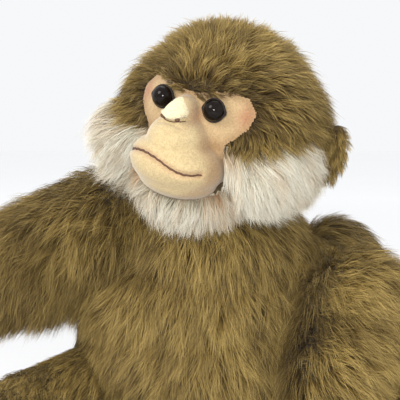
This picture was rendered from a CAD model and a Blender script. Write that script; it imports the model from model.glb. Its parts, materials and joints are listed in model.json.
import json
import math

import bmesh
import bpy
import numpy as np
from mathutils import Matrix, Vector, kdtree
from mathutils.bvhtree import BVHTree


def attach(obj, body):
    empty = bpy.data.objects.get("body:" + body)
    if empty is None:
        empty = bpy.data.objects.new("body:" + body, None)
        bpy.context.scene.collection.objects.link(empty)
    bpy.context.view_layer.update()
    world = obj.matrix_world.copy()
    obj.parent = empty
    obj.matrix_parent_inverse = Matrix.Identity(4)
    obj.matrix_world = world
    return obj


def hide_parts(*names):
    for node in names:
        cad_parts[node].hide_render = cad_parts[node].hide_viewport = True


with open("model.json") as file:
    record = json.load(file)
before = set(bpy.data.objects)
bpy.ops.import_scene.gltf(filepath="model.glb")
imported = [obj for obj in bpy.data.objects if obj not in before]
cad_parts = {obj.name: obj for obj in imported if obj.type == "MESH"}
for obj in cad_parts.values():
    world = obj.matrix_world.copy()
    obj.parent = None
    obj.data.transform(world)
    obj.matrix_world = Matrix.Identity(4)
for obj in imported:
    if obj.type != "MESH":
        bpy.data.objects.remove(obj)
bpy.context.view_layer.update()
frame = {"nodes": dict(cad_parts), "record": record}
print("frame loaded")

mm = 0.001
joints = {j["name"]: j for j in frame["record"]["behaviour"]["joints"]}


def jointAt(name):
    return Vector(joints[name]["pos_m"])


neck = jointAt("neck_turn")
neckAxis = Vector(joints["neck_turn"]["axis"]).normalized()
headSettings = {"turn": 28, "roll": 7, "rise": 52.2}
headCentre = neck + neckAxis * headSettings["rise"] * mm
headPlace = (Matrix.Translation(neck)
             @ Matrix.Rotation(-math.radians(headSettings["turn"]), 4, neckAxis)
             @ Matrix.Translation(headCentre - neck)
             @ Matrix.Rotation(math.radians(headSettings["roll"]), 4, "Y"))


# camera and light

cameraSettings = {"azimuth": 0, "elevation": 6.5, "distance": 0.53, "lens": 70, "aim": (-15, -30, 172)}
cameraData = bpy.data.cameras.new("camera")
cameraData.lens = cameraSettings["lens"]
cameraData.clip_start = 0.01
camera = bpy.data.objects.new("camera", cameraData)
bpy.context.scene.collection.objects.link(camera)
azimuth = math.radians(cameraSettings["azimuth"])
elevation = math.radians(cameraSettings["elevation"])
aim = Vector(cameraSettings["aim"]) * mm
away = Vector((math.sin(azimuth) * math.cos(elevation),
               -math.cos(azimuth) * math.cos(elevation),
               math.sin(elevation)))
camera.location = aim + away * cameraSettings["distance"]
camera.rotation_euler = (-away).to_track_quat("-Z", "Y").to_euler()
bpy.context.scene.camera = camera


def addLight(name, place, target, size, power, colour):
    data = bpy.data.lights.new(name, "AREA")
    data.shape = "DISK"
    data.size = size
    data.energy = power
    data.color = colour
    lamp = bpy.data.objects.new(name, data)
    lamp.location = place
    lamp.rotation_euler = (Vector(target) - Vector(place)).to_track_quat("-Z", "Y").to_euler()
    bpy.context.scene.collection.objects.link(lamp)


# place, target, size in metres, power in watts, colour
lamps = {
    "softKey": ((-0.75, -0.75, 0.95), (0, 0, 0.18), 0.6, 8.4, (1.0, 0.985, 0.955)),
    "softFill": ((0.9, -0.7, 0.55), (0, 0, 0.15), 0.9, 0.6, (0.97, 0.985, 1.0)),
    "eyeLight": ((-0.05, -0.75, 0.30), (0, 0, 0.22), 0.13, 3.2, (1, 1, 1)),
    "topLight": ((0.1, 0.35, 1.1), (0, 0, 0.2), 0.8, 3, (1, 1, 1)),
}
for name, lamp in lamps.items():
    addLight(name, *lamp)

worldSettings = {"colour": (0.955, 0.965, 0.98, 1), "strength": 0.97}
world = bpy.data.worlds.new("studio")
world.use_nodes = True
world.node_tree.nodes["Background"].inputs["Color"].default_value = worldSettings["colour"]
world.node_tree.nodes["Background"].inputs["Strength"].default_value = worldSettings["strength"]
bpy.context.scene.world = world
bpy.context.scene.view_settings.view_transform = "Standard"


# small helpers

def deselect():
    bpy.ops.object.select_all(action="DESELECT")


def pick(obj):
    deselect()
    obj.select_set(True)
    bpy.context.view_layer.objects.active = obj


def applyModifier(obj, kind, **values):
    pick(obj)
    modifier = obj.modifiers.new(kind.lower(), kind)
    for key, value in values.items():
        setattr(modifier, key, value)
    bpy.ops.object.modifier_apply(modifier=modifier.name)


def toFrame(obj, place=None):
    bpy.context.view_layer.update()
    if place is not None:
        obj.matrix_world = place @ obj.matrix_world
    pick(obj)
    bpy.ops.object.transform_apply(location=True, rotation=True, scale=True)


def addBall(centre, radii, turn=(0, 0, 0), segments=40):
    deselect()
    bpy.ops.mesh.primitive_uv_sphere_add(segments=segments, ring_count=segments // 2, radius=1,
                                         location=Vector(centre) * mm, rotation=turn)
    ball = bpy.context.object
    ball.scale = Vector(radii) * mm
    return ball


def addTube(a, b, ra, rb, sides=40):
    a, b = Vector(a), Vector(b)
    deselect()
    bpy.ops.mesh.primitive_cone_add(vertices=sides, radius1=ra, radius2=rb, depth=(b - a).length,
                                    location=(a + b) / 2, rotation=(b - a).to_track_quat("Z", "Y").to_euler())
    return bpy.context.object


def joinClay(name, parts, voxel, smooth, place=None):
    # stuffed shapes start as overlapping lumps, melted into one skin
    deselect()
    for part in parts:
        part.select_set(True)
    bpy.context.view_layer.objects.active = parts[0]
    bpy.ops.object.join()
    obj = bpy.context.object
    obj.name = name
    obj.data.name = name
    bpy.ops.object.transform_apply(location=True, rotation=True, scale=True)
    applyModifier(obj, "REMESH", mode="VOXEL", voxel_size=voxel * mm)
    applyModifier(obj, "SMOOTH", factor=0.5, iterations=smooth)
    if place is not None:
        toFrame(obj, place)
    pick(obj)
    bpy.ops.object.shade_smooth()
    return obj


def meshPoints(obj):
    points = np.empty(len(obj.data.vertices) * 3)
    obj.data.vertices.foreach_get("co", points)
    return points.reshape(-1, 3)


def setPoints(obj, points):
    obj.data.vertices.foreach_set("co", points.ravel())
    obj.data.update()


def smoothStep(x, low, high):
    t = np.clip((x - low) / (high - low), 0, 1)
    return t * t * (3 - 2 * t)


def unitRows(v):
    return v / np.maximum(np.linalg.norm(v, axis=-1, keepdims=True), 1e-9)


# materials

def newMaterial(name):
    material = bpy.data.materials.new(name)
    material.use_nodes = True
    nodes, links = material.node_tree.nodes, material.node_tree.links
    return material, nodes, links, nodes["Principled BSDF"]


def colourRamp(nodes, stops):
    ramp = nodes.new("ShaderNodeValToRGB")
    while len(ramp.color_ramp.elements) < len(stops):
        ramp.color_ramp.elements.new(0.5)
    for element, (place, colour) in zip(ramp.color_ramp.elements, stops):
        element.position = place
        element.color = (*colour, 1)
    return ramp


def addNoise(nodes, links, coords, scale, detail=2.0):
    noise = nodes.new("ShaderNodeTexNoise")
    noise.inputs["Scale"].default_value = scale
    noise.inputs["Detail"].default_value = detail
    links.new(coords.outputs["Object"], noise.inputs["Vector"])
    return noise


def addBump(nodes, links, noise, shader, strength, distance):
    bump = nodes.new("ShaderNodeBump")
    bump.inputs["Strength"].default_value = strength
    bump.inputs["Distance"].default_value = distance
    links.new(noise.outputs["Fac"], bump.inputs["Height"])
    links.new(bump.outputs["Normal"], shader.inputs["Normal"])


def furLook(name, darkStops, lightStops):
    # along each hair from root to tip, mixed between a dark and a light hair
    material, nodes, links, shader = newMaterial(name)
    uv = nodes.new("ShaderNodeUVMap")
    uv.uv_map = "OFBake"
    split = nodes.new("ShaderNodeSeparateXYZ")
    links.new(uv.outputs["UV"], split.inputs[0])
    dark, light = colourRamp(nodes, darkStops), colourRamp(nodes, lightStops)
    links.new(split.outputs["Y"], dark.inputs["Fac"])
    links.new(split.outputs["Y"], light.inputs["Fac"])
    mix = nodes.new("ShaderNodeMix")
    mix.data_type = "RGBA"
    links.new(split.outputs["X"], mix.inputs["Factor"])
    links.new(dark.outputs["Color"], mix.inputs["A"])
    links.new(light.outputs["Color"], mix.inputs["B"])
    links.new(mix.outputs["Result"], shader.inputs["Base Color"])
    shader.inputs["Roughness"].default_value = 0.62
    shader.inputs["Specular IOR Level"].default_value = 0.25
    shader.inputs["Sheen Weight"].default_value = 0.05
    shader.inputs["Sheen Roughness"].default_value = 0.4
    return material


def plainLook(name, low, high, scale, roughness, bumpSize=0.0003, bumpStrength=0.4, lowStop=0.3):
    material, nodes, links, shader = newMaterial(name)
    noise = addNoise(nodes, links, nodes.new("ShaderNodeTexCoord"), scale, 4)
    ramp = colourRamp(nodes, [(lowStop, low), (0.7, high)])
    links.new(noise.outputs["Fac"], ramp.inputs["Fac"])
    links.new(ramp.outputs["Color"], shader.inputs["Base Color"])
    addBump(nodes, links, noise, shader, bumpStrength, bumpSize)
    shader.inputs["Roughness"].default_value = roughness
    return material


def backingLook(name, low, high):
    return plainLook(name, low, high, 420, 0.9, 0.0006, 0.6, 0.35)


brownFur = furLook("brownFur",
                   [(0.0, (0.020, 0.011, 0.002)), (0.45, (0.050, 0.029, 0.006)), (1.0, (0.105, 0.065, 0.015))],
                   [(0.0, (0.080, 0.044, 0.008)), (0.5, (0.245, 0.155, 0.036)), (1.0, (0.58, 0.42, 0.14))])
paleFur = furLook("paleFur",
                  [(0.0, (0.24, 0.12, 0.05)), (0.6, (0.42, 0.26, 0.13)), (1.0, (0.58, 0.46, 0.30))],
                  [(0.0, (0.27, 0.23, 0.15)), (0.4, (0.49, 0.455, 0.345)), (1.0, (0.76, 0.735, 0.63))])
brownBacking = backingLook("brownBacking", (0.035, 0.020, 0.006), (0.095, 0.060, 0.016))
paleBacking = backingLook("paleBacking", (0.34, 0.28, 0.19), (0.50, 0.45, 0.35))


# fur: every hair is a thin tapered strip, combed along its skin and drawn together into tufts

strand = {"steps": 3, "taper": (1.0, 0.92, 0.62), "floor": 0.6, "stray": 0.3, "strayScale": 17, "tuft": 0.42}
toneRange = (0.02, 0.975)


def growFur(name, skin, body, look, hairs, seed, comb, toneAt, length=14, width=0.40, lift=0.55, droop=0.25,
            tuftSize=3.2, keep=None, lengthAt=None, liftAt=None):
    rng = np.random.default_rng(seed)
    mesh = skin.data
    mesh.calc_loop_triangles()
    tris = np.empty(len(mesh.loop_triangles) * 3, dtype=np.int64)
    mesh.loop_triangles.foreach_get("vertices", tris)
    tris = tris.reshape(-1, 3)
    points = meshPoints(skin)
    normals = np.empty(len(mesh.vertices) * 3)
    mesh.vertex_normals.foreach_get("vector", normals)
    normals = normals.reshape(-1, 3)
    corner = points[tris]
    area = np.linalg.norm(np.cross(corner[:, 1] - corner[:, 0], corner[:, 2] - corner[:, 0]), axis=1)
    middle = corner.mean(1)
    if keep is not None:
        area = area * (keep(middle) > 0.01)
    chosen = rng.choice(len(tris), size=int(hairs * 1.25), p=area / area.sum())
    r1, r2 = np.sqrt(rng.random(len(chosen))), rng.random(len(chosen))
    bary = np.stack([1 - r1, r1 * (1 - r2), r1 * r2], 1)
    root = (corner[chosen] * bary[:, :, None]).sum(1)
    normal = unitRows((normals[tris[chosen]] * bary[:, :, None]).sum(1))
    if keep is not None:
        alive = rng.random(len(root)) < keep(root)
        root, normal = root[alive], normal[alive]
    root, normal = root[:hairs], normal[:hairs]
    count = len(root)
    flow = comb(root, normal)
    flow = unitRows(flow - (flow * normal).sum(1, keepdims=True) * normal)
    turn = strand["stray"] * swirl(root, strand["strayScale"], seed + 70)
    flow = unitRows(flow + np.cross(normal, flow) * turn[:, None])
    long = np.full(count, length * mm) * (lengthAt(root) if lengthAt is not None else 1.0)
    long = long * rng.normal(1.0, 0.16, count).clip(0.55, 1.4)
    rise = np.full(count, lift) * (liftAt(root) if liftAt is not None else 1.0)
    rise = (rise + rng.normal(0, 0.07, count))[:, None]
    side = np.cross(normal, flow)
    sway = rng.normal(0, 0.16, count)[:, None]

    # the nearest tuft for each hair
    tufts = max(8, int(area.sum() / 2 / (tuftSize * mm) ** 2))
    leaders = rng.choice(count, size=min(tufts, count), replace=False)
    tree = kdtree.KDTree(len(leaders))
    for i, leader in enumerate(leaders):
        tree.insert(root[leader], i)
    tree.balance()
    nearest = np.array([tree.find(p)[1] for p in root])
    leader = leaders[nearest]
    tuftSway = rng.normal(0, 0.22, len(leaders))[nearest][:, None]
    tuftTone = rng.normal(0, 1, len(leaders))[nearest]
    tuftPull = rng.random(len(leaders))[nearest][:, None] * 0.5 + 0.5

    def pathAt(t, which):
        # up from the skin first, then over along the combing
        n, f, s, l, h = normal[which], flow[which], side[which], long[:, None][which], rise[which]
        up = n * h * (t - 0.32 * t * t) * 1.25
        over = f * (1 - 0.55 * h) * (0.35 * t + 0.65 * t * t)
        return root[which] + l * (up + over) + l * s * tuftSway * t * t

    everyHair = np.arange(count)
    steps = strand["steps"]
    stations = []
    for k in range(steps + 1):
        t = k / steps
        own = pathAt(t, everyHair) + long[:, None] * side * sway * t * t
        together = pathAt(t, leader)
        pull = strand["tuft"] * tuftPull * t ** 1.4
        place = own * (1 - pull) + together * pull
        place[:, 2] -= droop * long * t * t
        place[:, 2] = np.maximum(place[:, 2], strand["floor"] * mm)
        stations.append(place)
    stations = np.stack(stations, 1)
    along = unitRows(np.gradient(stations, axis=1))
    across = unitRows(np.cross(along, normal[:, None, :]))
    upright = np.cross(across, along)
    spin = rng.normal(0, 0.6, count)[:, None, None]
    across = across * np.cos(spin) + upright * np.sin(spin)
    taper = np.array(strand["taper"])[None, :, None]
    wide = width * mm * rng.normal(1, 0.2, count).clip(0.5, 1.6)[:, None, None] * taper
    left = stations[:, :steps] - across[:, :steps] * wide / 2
    right = stations[:, :steps] + across[:, :steps] * wide / 2
    verts = np.concatenate([np.stack([left, right], 2).reshape(count, steps * 2, 3), stations[:, steps:]], 1)
    per = steps * 2 + 1
    base = np.arange(count)[:, None] * per
    loops = []
    for k in range(steps - 1):
        loops.append(base + np.array([2 * k, 2 * k + 1, 2 * k + 3, 2 * k + 2]))
    tip = base + np.array([2 * steps - 2, 2 * steps - 1, 2 * steps])
    loopRows = np.concatenate(loops + [tip], 1)
    perLoops = 4 * (steps - 1) + 3
    faceSizes = np.tile([4] * (steps - 1) + [3], count)
    faceStarts = np.concatenate([[0], np.cumsum(faceSizes)[:-1]])
    hair = bpy.data.meshes.new(name)
    hair.vertices.add(count * per)
    hair.vertices.foreach_set("co", verts.reshape(-1))
    hair.loops.add(count * perLoops)
    hair.loops.foreach_set("vertex_index", loopRows.reshape(-1).astype(np.int32))
    hair.polygons.add(len(faceSizes))
    hair.polygons.foreach_set("loop_start", faceStarts.astype(np.int32))
    # UVs: tone across, root to tip upwards; the first hairs take every tone in turn
    tone = 0.5 + 0.20 * tuftTone + 0.18 * rng.normal(0, 1, count)
    tone = (tone + toneAt(root)).clip(*toneRange)
    tone[: count // 60] = np.linspace(*toneRange, max(count // 60, 1))
    tone = tone[:, None]
    u = np.empty((count, perLoops))
    v = np.empty((count, perLoops))
    at = 0
    for k in range(steps - 1):
        u[:, at:at + 4] = tone + np.array([0, 0.007, 0.007, 0])
        v[:, at:at + 4] = np.array([k, k, k + 1, k + 1]) / steps
        at += 4
    u[:, at:at + 3] = tone + np.array([0, 0.007, 0.0035])
    v[:, at:at + 3] = np.array([steps - 1, steps - 1, steps]) / steps
    layer = hair.uv_layers.new(name="OFBake")
    layer.data.foreach_set("uv", np.stack([u, v], -1).reshape(-1))
    hair.update()
    hair.validate()
    hair.shade_smooth()
    obj = bpy.data.objects.new(name, hair)
    bpy.context.scene.collection.objects.link(obj)
    hair.materials.append(look)
    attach(obj, body)
    print("fur", name, count)
    return obj


def swirl(points, scale, seed):
    # slow variation over the coat, from a few fixed waves
    rng = np.random.default_rng(seed)
    total = np.zeros(len(points))
    for _ in range(5):
        wave = rng.normal(0, 1, 3) / (scale * mm)
        total += np.sin(points @ wave + rng.random() * 6.28)
    return total / 2.2


# stuffed skins under the coat

# slump: soft shoulders, the left one sags and the right one is pushed up
limbSettings = {
    "left": {"side": 1, "slump": -11, "shoulder": 25, "armDir": (0.16, -0.80, -0.58),
             "foreDir": (-0.40, -0.58, -0.70), "handDir": (-0.34, -0.40, -0.85)},
    "right": {"side": -1, "slump": 6, "shoulder": 33, "armDir": (-0.90, -0.30, -0.32),
              "foreDir": (-0.88, -0.42, -0.22), "handDir": (-0.86, -0.46, -0.20)},
}
armSize = {"elbow": 31, "wrist": 23, "fore": 54, "overlap": 0.5}
legSize = {"hip": 25, "knee": 24, "ankle": 17, "shin": 60, "footLength": 62, "overlap": 0.5}
limbClay = {"voxel": 3.5, "smooth": 5}
# lumps: centre and radii
torsoSettings = {"voxel": 4, "smooth": 8, "seat": 1.0, "lumps": [
    ((-10, 5, 60), (90, 60, 58)),
    ((-14, 4, 98), (90, 56, 46)),
    ((-4, 4, 132), (66, 52, 42)),
    ((49, 0, 120), (31, 33, 27)),
    ((-62, 3, 152), (28, 30, 27)),
]}

torsoSkin = joinClay("torsoSkin", [addBall(*lump) for lump in torsoSettings["lumps"]],
                     torsoSettings["voxel"], torsoSettings["smooth"])
torsoPoints = meshPoints(torsoSkin)
torsoPoints[:, 2] = np.maximum(torsoPoints[:, 2], torsoSettings["seat"] * mm)
setPoints(torsoSkin, torsoPoints)
torsoSkin.data.materials.append(brownBacking)
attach(torsoSkin, "torso")
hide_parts("torso_skin", "torso_stuffing")
print("torso skin")

def limbClayPiece(name, a, b, ra, rb, extraA=0.0):
    # a tube from a to b with a ball at each end
    return joinClay(name, [addBall(a / mm, (ra + extraA,) * 3), addBall(b / mm, (rb,) * 3),
                           addTube(a, b, ra * mm, rb * mm)], limbClay["voxel"], limbClay["smooth"])


limbs = {}
for name, limb in limbSettings.items():
    side = limb["side"]
    shoulder, elbow = jointAt("shoulder_lift_" + name), jointAt("elbow_" + name)
    foreDir, handDir = Vector(limb["foreDir"]).normalized(), Vector(limb["handDir"]).normalized()
    wrist = elbow + foreDir * armSize["fore"] * mm
    slump = Vector((0, 0, limb["slump"])) * mm
    upper = limbClayPiece("upperArmSkin_" + name, shoulder + slump, elbow + slump * 0.5,
                          limb["shoulder"], armSize["elbow"])
    fore = limbClayPiece("forearmSkin_" + name, elbow, wrist, armSize["elbow"], armSize["wrist"],
                         armSize["overlap"])
    hip, knee = jointAt("hip_swing_" + name), jointAt("knee_" + name)
    shinDir = Vector((side * 0.16, -0.975, -0.13)).normalized()
    ankle = knee + shinDir * legSize["shin"] * mm
    thigh = limbClayPiece("thighSkin_" + name, hip, knee, legSize["hip"], legSize["knee"])
    shin = limbClayPiece("shinSkin_" + name, knee, ankle, legSize["knee"], legSize["ankle"], legSize["overlap"])
    for skin, body, nodes in ((upper, "upper_arm_", ("upper_arm_skin_", "upper_arm_stuffing_")),
                              (fore, "forearm_", ("forearm_skin_", "forearm_stuffing_")),
                              (thigh, "thigh_", ("thigh_skin_", "thigh_stuffing_")),
                              (shin, "shin_", ("shin_skin_", "shin_stuffing_"))):
        skin.data.materials.append(brownBacking)
        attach(skin, body + name)
        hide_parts(*[node + name for node in nodes])
    limbs[name] = {"upper": upper, "fore": fore, "thigh": thigh, "shin": shin, "wrist": wrist, "hip": hip,
                   "knee": knee, "ankle": ankle, "foreDir": foreDir, "handDir": handDir,
                   "armDir": Vector(limb["armDir"]).normalized(), "shinDir": shinDir, "side": side}
print("limb skins")

tailRoot = jointAt("tail_swing")
tailDir = Vector((0.35, 0.93, -0.1)).normalized()
tailSettings = {"length": 62, "root": 11, "tip": 6}
tailEnd = tailRoot + tailDir * tailSettings["length"] * mm
tailSkin = joinClay("tailSkin", [addBall(tailRoot / mm, (tailSettings["root"],) * 3),
                                 addBall(tailEnd / mm, (tailSettings["tip"],) * 3),
                                 addTube(tailRoot, tailEnd, 0.011, 0.006)], 2.5, 4)
tailSkin.data.materials.append(brownBacking)
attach(tailSkin, "tail")
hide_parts("tail_skin", "tail_stuffing")

headSettings["voxel"], headSettings["smooth"] = 3, 8
headSettings["lumps"] = [
    ((0, 2, 1), (64, 56, 52)),
    ((-2, 4, 22), (48, 48, 38)),
    ((37, -6, -12), (30, 38, 23)),
    ((-38, -6, -14), (31, 38, 24)),
    ((-4, -18, -35), (36, 36, 27)),
    ((-36, -16, -34), (19, 22, 18)),
    ((0, -48, 26), (25, 7, 6)),
]
headSkin = joinClay("headSkin", [addBall(*lump) for lump in headSettings["lumps"]],
                    headSettings["voxel"], headSettings["smooth"], headPlace)
headSkin.data.materials.append(brownBacking)
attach(headSkin, "head")
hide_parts("head_skin", "head_stuffing")
print("head skin")


# the face: clipped plush over a firm muzzle, in the head's own place and turn

# half of the outline, x and z, seen from the front
faceOutline = [(0, 17.5), (8, 18.8), (15.5, 21), (25, 23.5), (33, 21.5), (38, 15.5), (37, 8), (33, 1.5),
               (27, -4.5), (25, -9), (26.5, -15), (29, -23), (28.5, -31), (25, -39), (16, -45), (0, -47.5)]
faceOutline = faceOutline + [(-x, z) for x, z in reversed(faceOutline[1:-1])]
headBack = np.array(headPlace.inverted())


def onHead(points):
    return (points @ headBack[:3, :3].T + headBack[:3, 3]) / mm


def outlineDistance(x, z, outline):
    # below 0 inside the outline
    poly = np.array(outline, float)
    near = np.full(len(x), 1e9)
    inside = np.zeros(len(x), bool)
    for (ax, az), (bx, bz) in zip(poly, np.roll(poly, -1, axis=0)):
        dx, dz = bx - ax, bz - az
        t = np.clip(((x - ax) * dx + (z - az) * dz) / (dx * dx + dz * dz), 0, 1)
        near = np.minimum(near, np.hypot(x - ax - t * dx, z - az - t * dz))
        crosses = ((az > z) != (bz > z)) & (x < ax + (z - az) / (dz if abs(dz) > 1e-9 else 1e-9) * dx)
        inside ^= crosses
    return np.where(inside, -near, near)


mouthLine = [(-28.5, -24.2), (-24, -22.6), (-18, -21.0), (-11, -20.3), (-4, -20.9),
             (3, -22.6), (9, -25.0), (14.5, -27.0), (19.5, -27.6), (25.5, -26.0)]

# lumps: centre, radii, segments
faceSettings = {"voxel": 1.3, "smooth": 7, "frontY": -14, "backEdgeY": -12, "margin": 3, "lumps": [
    ((0, 2, 3), (65, 58.5, 54), 64),
    ((0, -50, -25), (30.5, 33, 20), 64),
    ((0, -52, -11), (20, 29.5, 18), 64),
    ((0, -46, -35), (25.5, 29, 13.5), 64),
    ((0, -57, 6), (9, 16.5, 12), 48),
    ((0, -50, 25), (24, 7, 6), 48),
    ((0, -70.5, 4.5), (6.5, 4.6, 5), 48),
]}
eyeSocket = {"x": 19.5, "z": 11.5, "stretch": 1.15, "depth": 1.2, "spread": 9.5}

face = joinClay("faceClay", [addBall(centre, radii, segments=segments)
                             for centre, radii, segments in faceSettings["lumps"]],
                faceSettings["voxel"], faceSettings["smooth"])
points = meshPoints(face) / mm
front = points[:, 1] < faceSettings["frontY"]
for side in (1, -1):
    away = np.hypot((points[:, 0] - side * eyeSocket["x"]) / eyeSocket["stretch"], points[:, 2] - eyeSocket["z"])
    points[:, 1] += eyeSocket["depth"] * np.exp(-(away / eyeSocket["spread"]) ** 2) * front
setPoints(face, points * mm)
surface = BVHTree.FromPolygons([v.co for v in face.data.vertices], [p.vertices for p in face.data.polygons])


def faceHit(px, pz, out=0.0):
    # the point of the face straight behind (px, pz)
    hit, normal, _, _ = surface.ray_cast(Vector((px, -130, pz)) * mm, Vector((0, 1, 0)))
    return hit + normal * out * mm


def curvePoints(line, steps):
    # evenly spaced points on a smooth line through the given ones
    line = np.array(line, float)
    t = np.linspace(0, len(line) - 1, steps)
    k = np.clip(t.astype(int), 0, len(line) - 2)
    f = (t - k)[:, None]
    p0, p1 = line[np.maximum(k - 1, 0)], line[k]
    p2, p3 = line[k + 1], line[np.minimum(k + 2, len(line) - 1)]
    return 0.5 * (2 * p1 + (p2 - p0) * f
                  + (2 * p0 - 5 * p1 + 4 * p2 - p3) * f ** 2
                  + (3 * p1 - p0 - 3 * p2 + p3) * f ** 3)


mouthPath = np.array([faceHit(px, pz) for px, pz in curvePoints(mouthLine, 60)]) / mm


def pinch(points, path, depth, spread):
    near = np.full(len(points), 1e9)
    for p in path:
        near = np.minimum(near, ((points - p) ** 2).sum(1))
    return depth * np.exp(-near / spread ** 2)


points = meshPoints(face) / mm
normals = np.empty(len(points) * 3)
face.data.vertex_normals.foreach_get("vector", normals)
normals = normals.reshape(-1, 3)
# creases: the mouth between two full lips, the line below the nose, and the nose's lower edge
philtrum = np.array([faceHit(0.3 * math.sin(k), -3 - k * 1.1) for k in range(14)]) / mm
philtrumRidge = [2.6, 0, 0]
noseUnder = np.array([faceHit(px, 0.3 - 0.02 * px * px) for px in np.linspace(-7, 7, 15)]) / mm
groove = pinch(points, mouthPath, 2.6, 1.9) - pinch(points, mouthPath, 1.0, 5.0)
groove = (groove + pinch(points, philtrum, 0.5, 2.0)
          - pinch(points, philtrum + philtrumRidge, 0.35, 1.6)
          - pinch(points, philtrum - philtrumRidge, 0.35, 1.6))
groove = groove + pinch(points, noseUnder, 1.3, 1.5)
points = points - normals * groove[:, None]
setPoints(face, points * mm)

# paint: a colour kept on each point of the mesh
inner = outlineDistance(points[:, 0], points[:, 2], faceOutline)
cream = np.array([0.50, 0.39, 0.215])
peach = np.array([0.43, 0.305, 0.165])
pink = np.array([0.33, 0.145, 0.080])
rust = np.array([0.19, 0.085, 0.028])
px, py, pz = points[:, 0], points[:, 1], points[:, 2]
muzzleShare = smoothStep(-py, 60, 68)[:, None]
paint = peach * (1 - muzzleShare) + cream * muzzleShare


def dab(paint, colour, amount):
    return paint * (1 - amount[:, None]) + colour * amount[:, None]


# dabs on both sides: colour, strength, x, width, z, height
dabs = [(pink, 0.75, 36, 4.5, 13, 7), (rust, 0.55, 22, 4.0, -9, 5), (pink, 0.45, 10, 3.0, 8, 7)]
for side in (1, -1):
    for colour, strength, atX, width, atZ, height in dabs:
        amount = strength * np.exp(-(((px - side * atX) / width) ** 2 + ((pz - atZ) / height) ** 2))
        paint = dab(paint, colour, amount)
paint = dab(paint, pink, 0.55 * pinch(points, mouthPath, 1.0, 2.3))
paint = dab(paint, rust, 0.35 * smoothStep(inner, -3.5, 1.5))
colours = face.data.color_attributes.new("paint", "FLOAT_COLOR", "POINT")
colours.data.foreach_set("color", np.concatenate([paint, np.ones((len(paint), 1))], 1).ravel())

# keep only the front of the face, with a margin that runs under the fur
doomed = (inner > faceSettings["margin"]) | (points[:, 1] > faceSettings["backEdgeY"])
sheet = bmesh.new()
sheet.from_mesh(face.data)
sheet.verts.ensure_lookup_table()
bmesh.ops.delete(sheet, geom=[sheet.verts[i] for i in np.nonzero(doomed)[0]], context="VERTS")
sheet.to_mesh(face.data)
sheet.free()


def plushLook(name, usePaint, low, high):
    material, nodes, links, shader = newMaterial(name)
    coords = nodes.new("ShaderNodeTexCoord")
    fine = addNoise(nodes, links, coords, 900, 3)
    broad = addNoise(nodes, links, coords, 110, 5)
    shade = colourRamp(nodes, [(0.3, low), (0.7, high)])
    links.new(broad.outputs["Fac"], shade.inputs["Fac"])
    grain = colourRamp(nodes, [(0.3, (0.80, 0.78, 0.74)), (0.68, (1.08, 1.07, 1.05))])
    links.new(fine.outputs["Fac"], grain.inputs["Fac"])
    first = nodes.new("ShaderNodeMix")
    first.data_type, first.blend_type = "RGBA", "MULTIPLY"
    first.inputs["Factor"].default_value = 1
    links.new(shade.outputs["Color"], first.inputs["A"])
    links.new(grain.outputs["Color"], first.inputs["B"])
    last = first
    if usePaint:
        painted = nodes.new("ShaderNodeVertexColor")
        painted.layer_name = "paint"
        last = nodes.new("ShaderNodeMix")
        last.data_type, last.blend_type = "RGBA", "MULTIPLY"
        last.inputs["Factor"].default_value = 1
        links.new(painted.outputs["Color"], last.inputs["A"])
        links.new(first.outputs["Result"], last.inputs["B"])
    links.new(last.outputs["Result"], shader.inputs["Base Color"])
    addBump(nodes, links, fine, shader, 0.35, 0.0004)
    shader.inputs["Roughness"].default_value = 0.85
    shader.inputs["Specular IOR Level"].default_value = 0.2
    shader.inputs["Sheen Weight"].default_value = 0.35
    shader.inputs["Sheen Roughness"].default_value = 0.45
    return material


facePlush = plushLook("facePlush", True, (0.93, 0.92, 0.90), (1.05, 1.05, 1.06))
palmPlush = plushLook("palmPlush", False, (0.46, 0.34, 0.19), (0.56, 0.43, 0.25))
face.name = face.data.name = "faceAndMuzzle"
face.data.materials.clear()
face.data.materials.append(facePlush)
toFrame(face, headPlace)
bpy.ops.object.shade_smooth()
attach(face, "head")
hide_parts("face_panel", "muzzle_skin", "chin_skin", "muzzle_stuffing")
print("face")


def addCord(name, path, radius, look, body, place, taper=None):
    data = bpy.data.curves.new(name, "CURVE")
    data.dimensions = "3D"
    data.bevel_depth = radius * mm
    data.bevel_resolution = 3
    data.use_fill_caps = True
    spline = data.splines.new("POLY")
    spline.points.add(len(path) - 1)
    for i, p in enumerate(path):
        spline.points[i].co = (*(Vector(p) * mm), 1)
        spline.points[i].radius = 1 if taper is None else taper(i / (len(path) - 1))
    obj = bpy.data.objects.new(name, data)
    bpy.context.scene.collection.objects.link(obj)
    pick(obj)
    bpy.ops.object.convert(target="MESH")
    obj = bpy.context.object
    toFrame(obj, place)
    obj.data.materials.append(look)
    bpy.ops.object.shade_smooth()
    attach(obj, body)
    return obj


threadLook = plainLook("mouthThread", (0.050, 0.022, 0.010), (0.13, 0.06, 0.03), 900, 0.8)
# the thread lies in the bottom of the crease and wavers like hand stitching
mouthThread = {"radius": 0.75, "sink": 1.7, "waver": 0.22, "waverStep": 1.35}
points = mouthPath + np.array([0, mouthThread["sink"], 0])
points[:, 2] += np.sin(np.arange(len(points)) * mouthThread["waverStep"]) * mouthThread["waver"]


def mouthTaper(t):
    return 0.45 + 0.75 * math.sin(math.pi * (0.12 + 0.8 * t))


mouth = addCord("mouthThread", points, mouthThread["radius"], threadLook, "head", headPlace, mouthTaper)
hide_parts("mouth_thread")


# eyes

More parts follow.
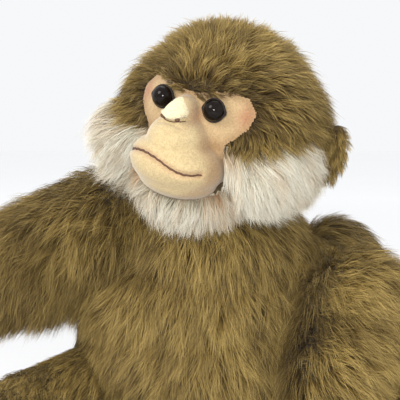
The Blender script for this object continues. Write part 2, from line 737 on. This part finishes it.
eyeSettings = {"gap": 37, "depth": -55.6, "height": 12.8, "radius": 7.0}
lidSettings = {"radius": 0.85, "reach": 7.0, "point": 0.9, "pointWidth": 13, "squash": 0.97, "forward": 0.4}
eyeLook, nodes, links, shader = newMaterial("eyeGloss")
noise = addNoise(nodes, links, nodes.new("ShaderNodeTexCoord"), 160)
ramp = colourRamp(nodes, [(0.3, (0.003, 0.002, 0.0015)), (0.75, (0.010, 0.006, 0.004))])
links.new(noise.outputs["Fac"], ramp.inputs["Fac"])
links.new(ramp.outputs["Color"], shader.inputs["Base Color"])
shader.inputs["Roughness"].default_value = 0.05
shader.inputs["Specular IOR Level"].default_value = 0.15
lidLook = plainLook("lidLeather", (0.004, 0.0025, 0.002), (0.014, 0.007, 0.004), 500, 0.85)

for name, side in (("left", 1), ("right", -1)):
    centre = Vector((side * eyeSettings["gap"] / 2, eyeSettings["depth"], eyeSettings["height"]))
    eye = addBall(centre, (eyeSettings["radius"],) * 3, (math.radians(90), 0, 0), 48)
    eye.name = eye.data.name = "eyeBall_" + name
    deselect()
    toFrame(eye, headPlace)
    bpy.ops.object.shade_smooth()
    eye.data.materials.append(eyeLook)
    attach(eye, "head")
    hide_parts("eye_" + name)
    # the lid is a thin rim, drawn out to a point at both corners
    rim = []
    for degrees in range(0, 361, 5):
        a = math.radians(degrees)
        # 360 degrees is the same corner as 0
        offCorner = [degrees % 360, degrees % 360 - 360, degrees - 180]
        point = sum(lidSettings["point"] * math.exp(-(d / lidSettings["pointWidth"]) ** 2) for d in offCorner)
        reach = lidSettings["reach"] + point
        rim.append((centre.x + reach * math.cos(a),
                    centre.y - lidSettings["forward"] + lidSettings["forward"] * point,
                    centre.z + reach * lidSettings["squash"] * math.sin(a)))
    lid = addCord("eyeLid_" + name, rim, lidSettings["radius"], lidLook, "head", headPlace)
    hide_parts("eyelid_" + name)
print("eyes")

# nose: a smooth paler wedge with two small nostrils

noseLook = plushLook("nosePatch", False, (0.66, 0.56, 0.36), (0.72, 0.62, 0.41))
nose = joinClay("nosePatch", [
    addBall((0, -68.6, 9), (9.6, 6.5, 7.4), segments=40),
    addBall((0, -71.6, 5.4), (8.6, 5.4, 3.6), segments=40),
], 0.8, 5)
points = meshPoints(nose) / mm
# narrow between the eyes, wide and forward at the lower edge
rise = np.clip(points[:, 2] - 3, 0, 14)
points[:, 0] *= 1.05 - 0.048 * rise
points[:, 1] += 0.42 * (rise - 3)
points[:, 2] += 0.03 * points[:, 0] ** 2 * (points[:, 2] < 5)
for side in (1, -1):   # a small dent behind each nostril
    dent = np.exp(-(((points[:, 0] - side * 4.6) / 1.6) ** 2 + ((points[:, 2] - 2.6) / 1.5) ** 2))
    points[:, 1] += 0.4 * dent * (points[:, 1] < -66)
setPoints(nose, points * mm)
nose.data.materials.append(noseLook)
toFrame(nose, headPlace)
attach(nose, "head")
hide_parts("nose_patch")
nostril = {"centre": (5.2, -74.4, 3.0), "radii": (1.7, 1.5, 1.1), "tilt": -20}
for name, side in (("left", 1), ("right", -1)):
    spotX, spotY, spotZ = nostril["centre"]
    spot = addBall((side * spotX, spotY, spotZ), nostril["radii"], (0, math.radians(nostril["tilt"] * side), 0), 20)
    spot.name = spot.data.name = "nostril_" + name
    toFrame(spot, headPlace)
    spot.data.materials.append(threadLook)
    bpy.ops.object.shade_smooth()
    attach(spot, "head")
under = [faceHit(px, 1.0 + 0.03 * px * px, 0.2) / mm for px in np.linspace(-7.6, 7.6, 18)]
addCord("noseStitch", under, 0.3, threadLook, "head", headPlace)
print("nose")


# ears: thin flaps, cupped and open to the front

earSettings = {"flap": 78, "root": 70, "y": 8, "z": 1, "cup": 2.6}
for name, side in (("left", 1), ("right", -1)):
    flapX, rootX = side * earSettings["flap"], side * earSettings["root"]
    ear = joinClay("earSkin_" + name, [
        addBall((flapX, earSettings["y"], earSettings["z"]), (9, 4.4, 19), segments=32),
        addBall((rootX, earSettings["y"], earSettings["z"]), (9, 5, 15), segments=32),
    ], 1.4, 6)
    points = meshPoints(ear) / mm
    cup = np.exp(-(((points[:, 0] - flapX) / 4.5) ** 2 + ((points[:, 2] - earSettings["z"]) / 11) ** 2))
    points[:, 1] += earSettings["cup"] * cup * (points[:, 1] < 9)
    setPoints(ear, points * mm)
    toFrame(ear, headPlace)
    ear.data.materials.append(brownBacking)
    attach(ear, "head")
    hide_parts("ear_" + name)
    limbs[name]["ear"] = ear

# hands and feet in the same clipped plush as the face

handSettings = {"base": 9, "palm": (11, 15, 15), "finger": 5.2, "fingerTip": 4.4, "spread": 8.4, "tipSpread": 10.4}
footSettings = {"heel": (15.5, 16, 15), "ball": (19, 19, 13), "height": 14, "toe": 6.4, "toeTip": 5.6,
                "spread": 7.2, "tipSpread": 8.2, "sole": 0.4}
for name, limb in limbs.items():
    wrist, along, side = limb["wrist"], limb["handDir"], limb["side"]
    turn = along.to_track_quat("Z", "Y").to_matrix().to_4x4()
    place = Matrix.Translation(wrist) @ turn
    base = handSettings["base"]
    finger, fingerTip = handSettings["finger"], handSettings["fingerTip"]
    parts = [addBall((0, 0, base + 10), handSettings["palm"])]
    for i in (-1.5, -0.5, 0.5, 1.5):
        a = Vector((0, i * handSettings["spread"], base + 20))
        b = Vector((-3.5, i * handSettings["tipSpread"], base + 36 - abs(i) * 2.2))
        parts += [addTube(a * mm, b * mm, finger * mm, fingerTip * mm, 20),
                  addBall(b, (4.5, 4.5, 4.5), segments=20),
                  addBall(a, (finger, finger, finger), segments=20)]
    a, b = Vector((0, -side * 11, base + 8)), Vector((-5, -side * 22, base + 18))   # thumb
    parts += [addTube(a * mm, b * mm, 5.5 * mm, 4.6 * mm, 20), addBall(b, (4.8, 4.8, 4.8), segments=20)]
    hand = joinClay("handPlush_" + name, parts, 1.3, 4, place)
    hand.data.materials.append(palmPlush)
    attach(hand, "forearm_" + name)
    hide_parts("hand_" + name)
    ankle = limb["ankle"] / mm
    middle = Vector((ankle.x + side * 4, ankle.y - legSize["footLength"] * 0.2, footSettings["height"]))
    heel, ball = middle + Vector((0, 13.6, 0)), middle - Vector((0, 7.4, 0))
    parts = [addBall(heel, footSettings["heel"]), addBall(ball, footSettings["ball"]),
             addTube(heel * mm, ball * mm, 15 * mm, 16 * mm)]
    for i in (-2, -1, 0, 1, 2):
        a = ball + Vector((i * footSettings["spread"], -8, -4))
        b = ball + Vector((i * footSettings["tipSpread"], -20 + abs(i) * 2.5, -5))
        parts += [addTube(a * mm, b * mm, footSettings["toe"] * mm, footSettings["toeTip"] * mm, 20),
                  addBall(b, (5.8, 5.8, 5.6), segments=20)]
    foot = joinClay("footPlush_" + name, parts, 1.5, 4)
    points = meshPoints(foot) / mm
    points[:, 2] = np.maximum(points[:, 2], footSettings["sole"])
    setPoints(foot, points * mm)
    foot.data.materials.append(palmPlush)
    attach(foot, "shin_" + name)
    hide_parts("foot_" + name)
print("hands and feet")


# the coat

furShare = 1.0


def hairCount(full):
    return int(full * furShare)


def beardEdge(x):
    # height on the head where brown fur gives way to the pale beard
    return -9.5 + 18 * smoothStep(np.abs(x), 45, 64)


def coatShares(points):
    # how far a point belongs to the beard, and how far it is outside the bare face
    x, y, z = onHead(points).T
    below = smoothStep(beardEdge(x) - z + swirl(points, 9, 5) * 1.2, -1.5, 1.5)
    fore = smoothStep(-y, -22, -12)
    outside = outlineDistance(x, z, faceOutline)
    bare = smoothStep(outside + 0.9 * swirl(points, 2.5, 6), -0.5, 1.0)
    return below * fore, np.where(y < faceSettings["backEdgeY"], bare, 1.0)


def beardShare(points):
    pale, furred = coatShares(points)
    return pale * furred


def brownShare(points):
    pale, furred = coatShares(points)
    return (1 - pale) * furred


# pale backing under the beard
headSkin.data.materials.append(paleBacking)
underBeard = beardShare(np.array([face.center for face in headSkin.data.polygons])) > 0.3
headSkin.data.polygons.foreach_set("material_index", underBeard.astype(np.int32))

headTurn = np.array(headPlace)[:3, :3]


def scalpFlow(points, normals):
    x, y, z = onHead(points).T
    radial = unitRows(np.stack([x, 14 + 0 * x, z - 14], 1))
    down = smoothStep(np.abs(x), 18, 52)[:, None] * smoothStep(-z, -46, 10)[:, None]
    flow = radial * (1 - 0.8 * down) + np.array([0, 0.35, -1.0]) * down
    back = smoothStep(y, 5, 35)[:, None]
    flow = flow * (1 - back) + np.array([0, 0.1, -1.0]) * back
    return unitRows(flow) @ headTurn.T


def beardFlow(points, normals):
    x, y, z = onHead(points).T
    flow = unitRows(np.stack([x * 1.15, 22 + 0 * x, (z + 22)], 1))
    flow = flow + np.array([0, 0, -0.75])
    return unitRows(flow) @ headTurn.T


def faceRim(points):
    x, y, z = onHead(points).T
    return np.where(y < -10, np.clip(outlineDistance(x, z, faceOutline), 0, 40), 40)


def scalpTone(points):
    return 0.10 * swirl(points, 16, 3) - 0.40 * (1 - smoothStep(faceRim(points), 2, 13))


def beardLength(points):
    shorterLeft = 1.12 - 0.4 * smoothStep(onHead(points)[:, 0], 20, 60)
    return (0.45 + 0.55 * smoothStep(faceRim(points), 1, 18)) * shorterLeft


def beardTone(points):
    # darker rusty hair beside the mouth corners
    x, y, z = onHead(points).T
    stain = (0.65 * np.exp(-((faceRim(points) / 6.0) ** 2)) * smoothStep(-z, 22, 34)
             * np.exp(-((np.abs(x) - 24) / 7) ** 2))
    return 0.34 + 0.08 * swirl(points, 12, 4) - stain


growFur("furHead", headSkin, "head", brownFur, hairCount(39000), 11, scalpFlow, scalpTone,
        length=20, lift=0.78, droop=0.10, keep=brownShare,
        lengthAt=lambda points: 0.45 + 0.55 * smoothStep(faceRim(points), 1, 15),
        liftAt=lambda points: 0.75 + 0.25 * smoothStep(faceRim(points), 0, 12))
beard = growFur("furBeard", headSkin, "head", paleFur, hairCount(39000), 12, beardFlow, beardTone,
                length=29, width=0.38, lift=0.62, droop=0.22, tuftSize=3.6, keep=beardShare,
                lengthAt=beardLength)
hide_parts("beard_ruff")


def torsoFlow(points, normals):
    x = points[:, 0] / mm
    return unitRows(np.stack([x * 0.012, 0 * x, -1 + 0 * x], 1))


sideSeam = 2 * mm   # the torso's coat is two pieces that meet at the sides


def frontHalf(points):
    return (points[:, 1] < sideSeam).astype(float)


def backHalf(points):
    return (points[:, 1] >= sideSeam).astype(float)


def torsoTone(points):
    return 0.17 * swirl(points * np.array([1, 1, 0.35]), 7, 8) + 0.10 * swirl(points, 30, 9) - 0.02


growFur("furTorsoFront", torsoSkin, "torso", brownFur, hairCount(39500), 13, torsoFlow, torsoTone,
        length=20, lift=0.55, keep=frontHalf)
growFur("furTorsoBack", torsoSkin, "torso", brownFur, hairCount(39500), 14, torsoFlow, torsoTone,
        length=19, lift=0.55, keep=backHalf)


def limbFlow(direction, down=0.45):
    way = np.array(direction.normalized()) + np.array([0, 0, -down])
    return lambda points, normals: np.tile(way / np.linalg.norm(way), (len(points), 1))


def limbTone(seed):
    return lambda points: 0.17 * swirl(points, 12, seed)


# the left arm's pile fans out from the crease beside the belly, the right arm's hangs
armLift = {"left": 0.5, "right": 0.78}
armFlow = {"left": limbFlow(Vector((0.75, -0.45, -0.45)), 0.1),
           "right": limbFlow(limbs["right"]["armDir"], 0.5)}
foreFlow = {"left": limbFlow(Vector((0.80, -0.30, -0.30)), 0.1),
            "right": limbFlow(limbs["right"]["foreDir"], 0.5)}


def armTone(name, seed):
    # the right arm is darker all over, the left one only in the crease
    plain = limbTone(seed)
    if name == "right":
        return lambda points: plain(points) - 0.14
    return lambda points: plain(points) - 0.28 * (1 - smoothStep(points[:, 0] / mm, 52, 76))


def earFlow(points, normals):
    return np.tile([0, 0.3, -1.0], (len(points), 1)) @ headTurn.T


def earTone(points):
    return np.full(len(points), -0.1)


for k, (name, limb) in enumerate(limbs.items()):
    seed = 20 + 10 * k
    growFur("furUpperArm_" + name, limb["upper"], "upper_arm_" + name, brownFur, hairCount(24000), seed,
            armFlow[name], armTone(name, seed), length=23, lift=armLift[name])
    growFur("furForearm_" + name, limb["fore"], "forearm_" + name, brownFur, hairCount(21000), seed + 1,
            foreFlow[name], armTone(name, seed), length=22, lift=0.7)
    growFur("furThigh_" + name, limb["thigh"], "thigh_" + name, brownFur, hairCount(20000), seed + 2,
            limbFlow(limb["knee"] - limb["hip"]), limbTone(seed), length=14, lift=0.42)
    growFur("furShin_" + name, limb["shin"], "shin_" + name, brownFur, hairCount(15000), seed + 3,
            limbFlow(limb["shinDir"]), limbTone(seed), length=14, lift=0.5)
    growFur("furEar_" + name, limb["ear"], "head", brownFur, hairCount(3500), seed + 4,
            earFlow, earTone, length=7, lift=0.5, width=0.36)
growFur("furTail", tailSkin, "tail", brownFur, hairCount(6000), 50, limbFlow(tailDir, 0.1),
        lambda points: np.zeros(len(points)), length=13, lift=0.5)
print("coat")


# pieces kept from the frame, each with its own finish

stuffingLook = plainLook("fibreFill", (0.80, 0.80, 0.78), (0.93, 0.93, 0.92), 240, 0.95, 0.001, 0.7)
pelletLook = plainLook("pelletCloth", (0.62, 0.58, 0.50), (0.78, 0.75, 0.67), 700, 0.9)
labelLook = plainLook("blankLabel", (0.86, 0.86, 0.85), (0.95, 0.95, 0.94), 1500, 0.7, 0.0001, 0.3)
discLook = plainLook("jointPlastic", (0.76, 0.76, 0.73), (0.84, 0.84, 0.81), 60, 0.5, 0.0001, 0.15)
wireLook = plainLook("jointSteel", (0.50, 0.51, 0.52), (0.62, 0.63, 0.64), 300, 0.35, 0.0001, 0.2)
wireLook.node_tree.nodes["Principled BSDF"].inputs["Metallic"].default_value = 1.0
finishes = {"seat_pellet_bag": pelletLook, "care_label": labelLook}
for node, obj in frame["nodes"].items():
    look = finishes.get(node)
    if look is None:
        if "wire" in node or "lock_washer" in node:
            look = wireLook
        elif "stud" in node or "washer" in node:
            look = discLook
        else:
            look = stuffingLook
    for slotRow in obj.material_slots:
        slotRow.material = look
    if not obj.material_slots:
        obj.data.materials.append(look)

# floor: a sheet that is greyer under the toy and runs out to white

floorSettings = {"size": 8, "drop": 0.0015, "nearColour": (0.68, 0.68, 0.685, 1), "near": 0.15, "far": 1.6}
deselect()
bpy.ops.mesh.primitive_plane_add(size=floorSettings["size"], location=(0, 0, -floorSettings["drop"]))
floor = bpy.context.object
floor.name = "studioFloor"
floorLook = plainLook("paleFloor", (0.97, 0.975, 0.98), (0.98, 0.985, 0.99), 6, 0.9, 0.0001, 0.05)
nodes, links = floorLook.node_tree.nodes, floorLook.node_tree.links
shader = nodes["Principled BSDF"]
plain = shader.inputs["Base Color"].links[0].from_socket
coords = nodes.new("ShaderNodeTexCoord")
reach = nodes.new("ShaderNodeVectorMath")
reach.operation = "LENGTH"
links.new(coords.outputs["Object"], reach.inputs[0])
spread = nodes.new("ShaderNodeMapRange")
spread.inputs["From Min"].default_value = floorSettings["near"]
spread.inputs["From Max"].default_value = floorSettings["far"]
links.new(reach.outputs["Value"], spread.inputs["Value"])
mix = nodes.new("ShaderNodeMixRGB")
mix.inputs["Color1"].default_value = floorSettings["nearColour"]
links.new(spread.outputs["Result"], mix.inputs["Fac"])
links.new(plain, mix.inputs["Color2"])
links.new(mix.outputs["Color"], shader.inputs["Base Color"])
floor.data.materials.append(floorLook)
